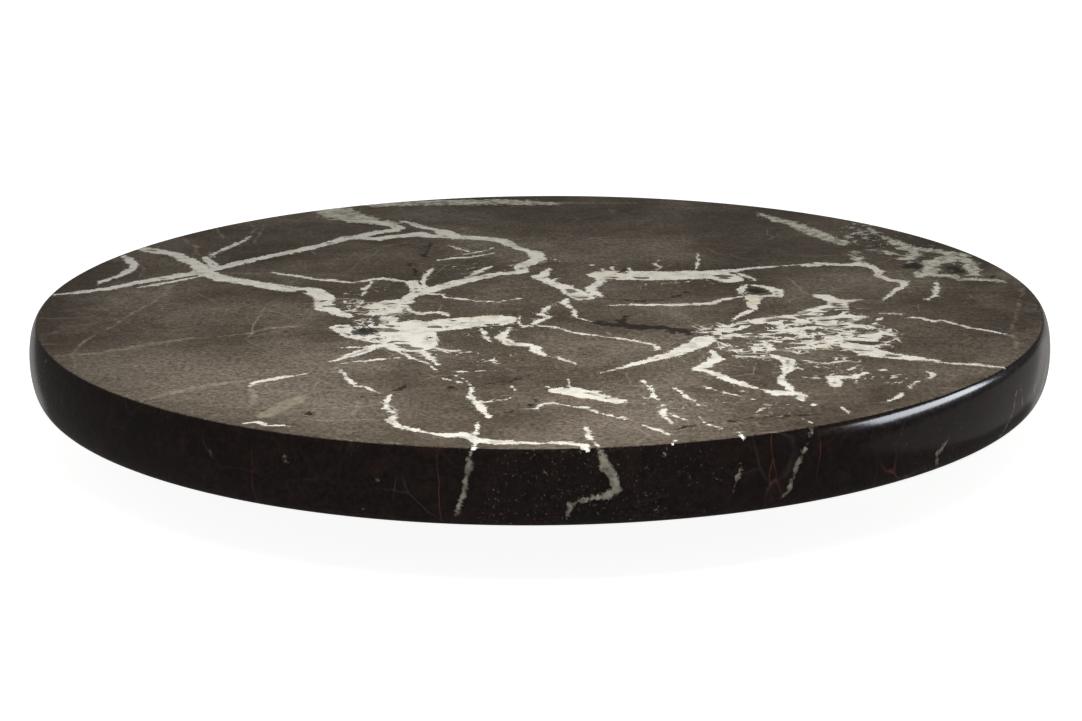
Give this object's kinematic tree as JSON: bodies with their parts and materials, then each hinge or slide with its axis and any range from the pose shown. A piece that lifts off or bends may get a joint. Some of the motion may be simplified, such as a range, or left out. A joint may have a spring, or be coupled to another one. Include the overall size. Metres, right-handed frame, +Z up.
{
  "type": "lazy susan turntable",
  "caption": "Low round turntable: a veined dark marble slab with a rounded edge that spins on a ball bearing over a smaller wooden base disc with rubber feet.",
  "frame": {"origin": "on the surface the feet stand on, directly under the centre of the slab", "axes": "+Z up along the axis the slab spins about; +Y points away from the viewer and +X to the right"},
  "size_m": [0.3, 0.3, 0.039],
  "materials": {
    "marble": "dark brown marble with cream veins, honed flat on top and polished round the edge",
    "stained_beech": "turned beech, stained dark brown and oiled",
    "zinc_plated_steel": "pressed sheet steel, bright zinc plated",
    "screw_steel": "cold-headed steel, zinc plated",
    "ball_steel": "ground and polished bearing steel",
    "brass": "turned brass",
    "nylon": "moulded natural nylon",
    "rubber": "moulded black rubber, matt"
  },
  "bodies": {
    "base": {"base_disc": "stained_beech", "lower_bearing_plate": "zinc_plated_steel", "pivot_rivet": "zinc_plated_steel", "pivot_washer": "brass", "lower_plate_screw_1": "screw_steel", "lower_plate_screw_2": "screw_steel", "lower_plate_screw_3": "screw_steel", "lower_plate_screw_4": "screw_steel", "rubber_foot_1": "rubber", "rubber_foot_2": "rubber", "rubber_foot_3": "rubber", "rubber_foot_4": "rubber", "foot_screw_1": "screw_steel", "foot_screw_2": "screw_steel", "foot_screw_3": "screw_steel", "foot_screw_4": "screw_steel"},
    "cage": {"ball_cage": "nylon", "bearing_ball_01": "ball_steel", "bearing_ball_02": "ball_steel", "bearing_ball_03": "ball_steel", "bearing_ball_04": "ball_steel", "bearing_ball_05": "ball_steel", "bearing_ball_06": "ball_steel", "bearing_ball_07": "ball_steel", "bearing_ball_08": "ball_steel", "bearing_ball_09": "ball_steel", "bearing_ball_10": "ball_steel", "bearing_ball_11": "ball_steel", "bearing_ball_12": "ball_steel"},
    "turntable": {"marble_top": "marble", "upper_bearing_plate": "zinc_plated_steel", "slab_insert_1": "brass", "slab_insert_2": "brass", "slab_insert_3": "brass", "slab_insert_4": "brass", "upper_plate_screw_1": "screw_steel", "upper_plate_screw_2": "screw_steel", "upper_plate_screw_3": "screw_steel", "upper_plate_screw_4": "screw_steel"}
  },
  "joints": [
    {"name": "turntable_spin", "type": "hinge", "parent": "base", "child": "turntable", "pos_m": [0, 0, 0.019], "axis": [0, 0, 1], "continuous": true},
    {"name": "cage_orbit", "type": "hinge", "parent": "base", "child": "cage", "pos_m": [0, 0, 0.015], "axis": [0, 0, 1], "continuous": true}
  ],
  "couplings": [
    {"joint": "cage_orbit", "follows": "turntable_spin", "ratio": 0.5}
  ]
}
